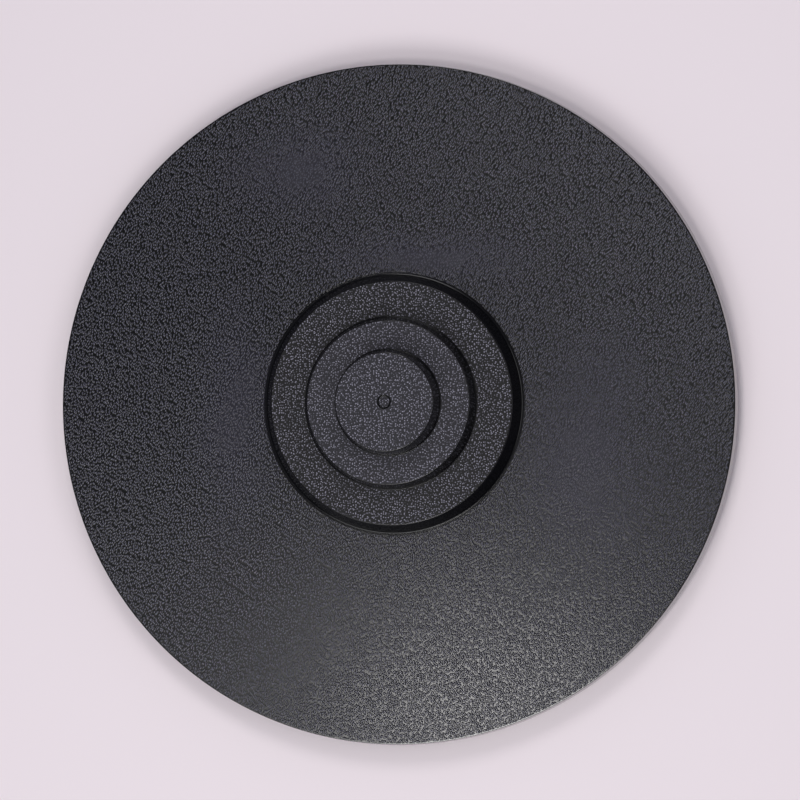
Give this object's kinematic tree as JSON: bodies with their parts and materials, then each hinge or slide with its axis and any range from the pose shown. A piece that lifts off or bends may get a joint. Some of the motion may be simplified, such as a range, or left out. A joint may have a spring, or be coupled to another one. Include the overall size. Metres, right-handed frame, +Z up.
{
  "type": "sculpting turntable",
  "caption": "Low sculpting turntable: a grained round disc with a raised three-step hub that spins on ball bearings over a flat footed base.",
  "frame": {"origin": "on the spin axis, on the surface that the feet stand on", "axes": "+Z up along the spin axis; +X towards one of the six feet"},
  "size_m": [0.3048, 0.3048, 0.0411],
  "materials": {
    "grained_plastic": "black sheet with a leather-like moulded grain, satin, with a smooth glossy cut edge",
    "moulded_plastic": "black moulding with fine sparkle texture on the step tops and smooth glossy walls",
    "rubber": "matt black",
    "coated_steel": "fine-textured black powder coat",
    "cast_aluminium": "turned casting",
    "bearing_steel": "ground and polished",
    "cage_steel": "machined",
    "plated_steel": "zinc plated"
  },
  "bodies": {
    "base": {"base_plate": "coated_steel", "foot_1": "rubber", "foot_2": "rubber", "foot_3": "rubber", "foot_4": "rubber", "foot_5": "rubber", "foot_6": "rubber", "spindle": "plated_steel", "spindle_screw_1": "plated_steel", "spindle_screw_2": "plated_steel", "spindle_screw_3": "plated_steel", "bearing_spacer": "plated_steel", "spindle_washer": "plated_steel", "spindle_nut": "plated_steel", "lower_bearing_inner_race": "bearing_steel", "upper_bearing_inner_race": "bearing_steel"},
    "platter": {"platter_disc": "grained_plastic", "bearing_housing": "cast_aluminium", "housing_screw_1": "plated_steel", "housing_screw_2": "plated_steel", "housing_screw_3": "plated_steel", "housing_screw_4": "plated_steel", "housing_screw_5": "plated_steel", "housing_screw_6": "plated_steel", "hub_cover": "moulded_plastic", "cover_screw_1": "plated_steel", "cover_screw_2": "plated_steel", "cover_screw_3": "plated_steel", "cover_screw_4": "plated_steel", "lower_bearing_outer_race": "bearing_steel", "upper_bearing_outer_race": "bearing_steel"},
    "lower_balls": {"lower_bearing_cage": "cage_steel", "lower_bearing_ball_1": "bearing_steel", "lower_bearing_ball_2": "bearing_steel", "lower_bearing_ball_3": "bearing_steel", "lower_bearing_ball_4": "bearing_steel", "lower_bearing_ball_5": "bearing_steel", "lower_bearing_ball_6": "bearing_steel", "lower_bearing_ball_7": "bearing_steel", "lower_bearing_ball_8": "bearing_steel"},
    "upper_balls": {"upper_bearing_cage": "cage_steel", "upper_bearing_ball_1": "bearing_steel", "upper_bearing_ball_2": "bearing_steel", "upper_bearing_ball_3": "bearing_steel", "upper_bearing_ball_4": "bearing_steel", "upper_bearing_ball_5": "bearing_steel", "upper_bearing_ball_6": "bearing_steel", "upper_bearing_ball_7": "bearing_steel", "upper_bearing_ball_8": "bearing_steel"}
  },
  "joints": [
    {"name": "platter_spin", "type": "hinge", "parent": "base", "child": "platter", "pos_m": [0, 0, 0], "axis": [0, 0, 1], "continuous": true},
    {"name": "lower_balls_orbit", "type": "hinge", "parent": "base", "child": "lower_balls", "pos_m": [0, 0, 0], "axis": [0, 0, 1], "continuous": true},
    {"name": "upper_balls_orbit", "type": "hinge", "parent": "base", "child": "upper_balls", "pos_m": [0, 0, 0], "axis": [0, 0, 1], "continuous": true}
  ],
  "couplings": [
    {"joint": "lower_balls_orbit", "follows": "platter_spin", "ratio": 0.619},
    {"joint": "upper_balls_orbit", "follows": "platter_spin", "ratio": 0.619}
  ]
}
